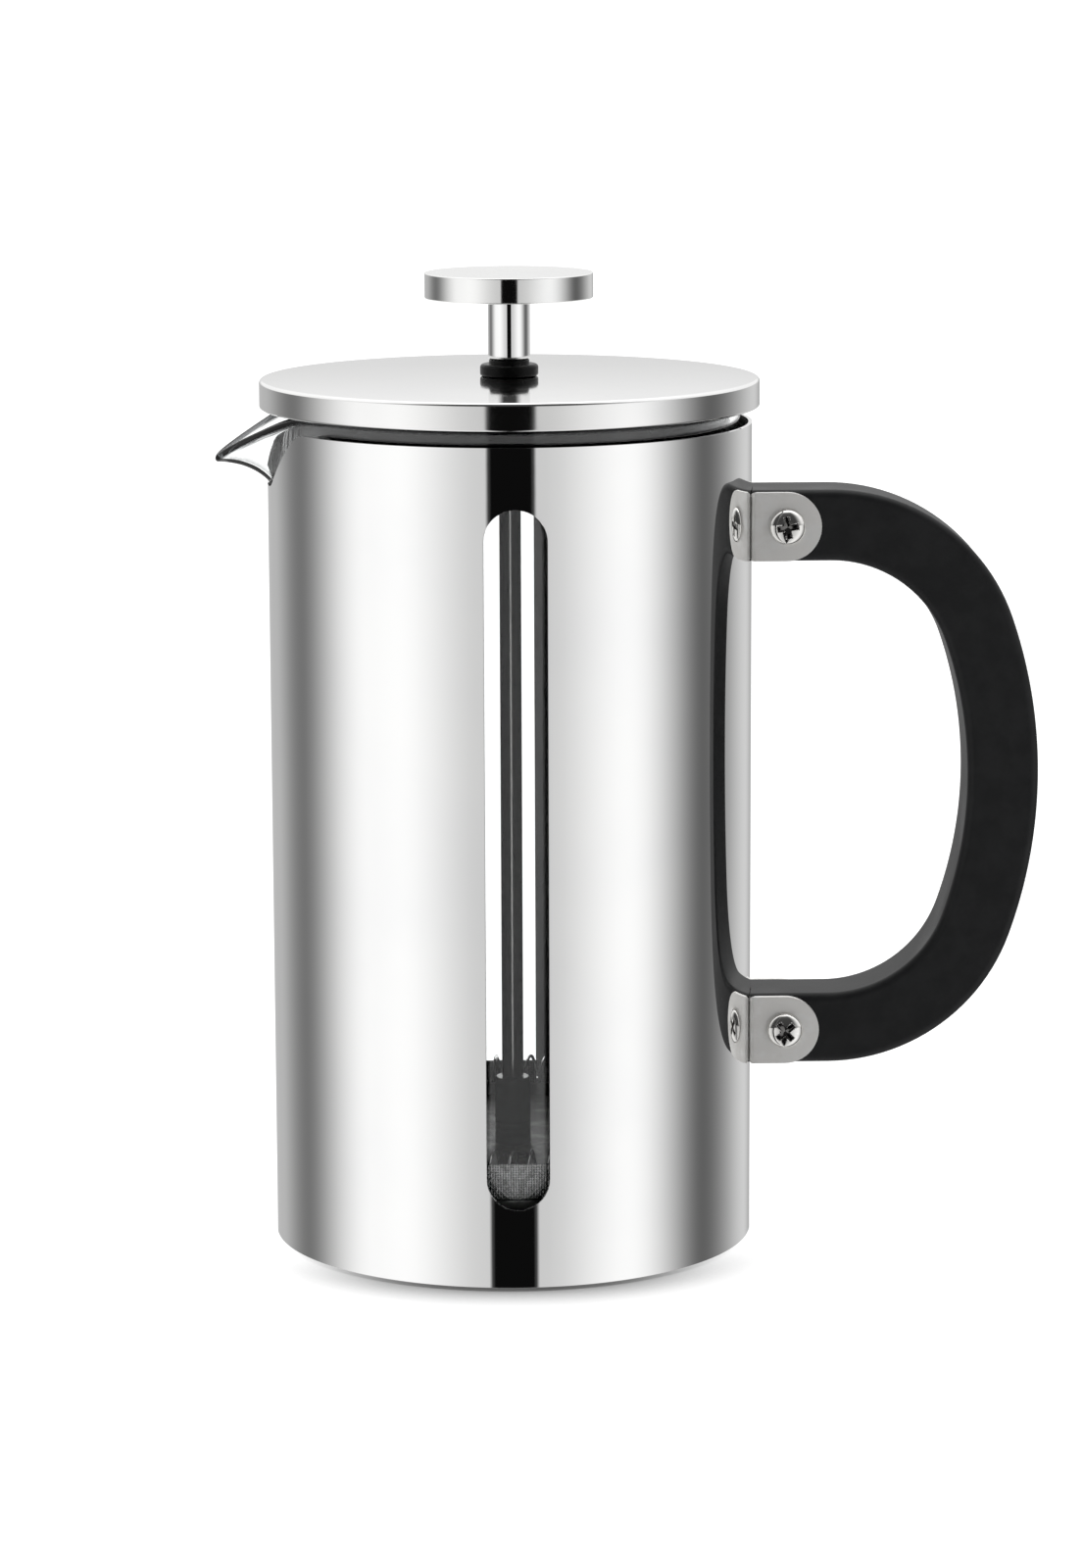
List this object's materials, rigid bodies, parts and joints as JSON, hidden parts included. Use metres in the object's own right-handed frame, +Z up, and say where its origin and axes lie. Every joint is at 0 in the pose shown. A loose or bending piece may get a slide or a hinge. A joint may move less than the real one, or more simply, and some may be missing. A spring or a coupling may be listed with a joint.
{
  "type": "french press",
  "caption": "Coffee plunger pot: glass beaker in a slotted polished steel sleeve with a black band handle, a flat disc lid and a plunger with a spring-edged mesh filter.",
  "frame": {"origin": "centre of the foot pad's underside, on the beaker's axis", "axes": "+Z up, +X towards the handle, -X towards the spout, -Y is the front"},
  "size_m": [0.1702, 0.103, 0.202],
  "materials": {
    "polished_steel": "mirror-polished stainless steel",
    "plain_steel": "plain mill finish",
    "silicone": "matt silicone",
    "borosilicate": "clear, smooth",
    "black_handle": "matt black moulded plastic",
    "insert_brass": "turned brass",
    "satin_nickel": "satin sheet",
    "fastener_steel": "bright plated",
    "black_insert": "semi-gloss black plastic",
    "black_rubber": "soft black rubber",
    "rod_steel": "polished round bar",
    "filter_steel": "pressed and punched sheet",
    "spring_wire": "bright drawn wire",
    "woven_mesh": "fine plain-woven wire"
  },
  "bodies": {
    "jug": {"sleeve": "polished_steel", "base_plate": "plain_steel", "base_pad": "silicone", "beaker_cushion": "silicone", "handle": "black_handle", "upper_handle_insert": "insert_brass", "lower_handle_insert": "insert_brass", "upper_bracket": "satin_nickel", "lower_bracket": "satin_nickel", "upper_front_rivet": "fastener_steel", "upper_rear_rivet": "fastener_steel", "lower_front_rivet": "fastener_steel", "lower_rear_rivet": "fastener_steel", "upper_front_handle_screw": "fastener_steel", "upper_rear_handle_screw": "fastener_steel", "lower_front_handle_screw": "fastener_steel", "lower_rear_handle_screw": "fastener_steel"},
    "beaker": {"glass_beaker": "borosilicate"},
    "bush": {"rod_bush": "black_rubber"},
    "lid": {"lid_cap": "polished_steel", "lid_insert": "black_insert"},
    "plunger": {"plunger_rod": "rod_steel"},
    "knob_group": {"knob": "polished_steel", "knob_ferrule": "polished_steel"},
    "filter": {"filter_hub": "rod_steel", "filter_screw": "fastener_steel", "spring_plate": "filter_steel", "filter_spring": "spring_wire", "mesh_screen": "woven_mesh", "cross_plate": "filter_steel"}
  },
  "joints": [
    {"name": "beaker_lift", "type": "slide", "parent": "jug", "child": "beaker", "axis": [0, 0, 1], "range_m": [0, 0.18]},
    {"name": "lid_lift", "type": "slide", "parent": "beaker", "child": "bush", "axis": [0, 0, 1], "range_m": [0, 0.17]},
    {"name": "lid_turn", "type": "hinge", "parent": "bush", "child": "lid", "pos_m": [0, 0, 0.18], "axis": [0, 0, 1], "continuous": true},
    {"name": "plunger_slide", "type": "slide", "parent": "bush", "child": "plunger", "axis": [0, 0, 1], "range_m": [0, 0.13]},
    {"name": "knob_unscrew", "type": "hinge", "parent": "plunger", "child": "knob_group", "pos_m": [0, 0, 0.199], "axis": [0, 0, 1], "continuous": true},
    {"name": "filter_unscrew", "type": "hinge", "parent": "plunger", "child": "filter", "pos_m": [0, 0, 0.025], "axis": [0, 0, 1], "continuous": true}
  ]
}
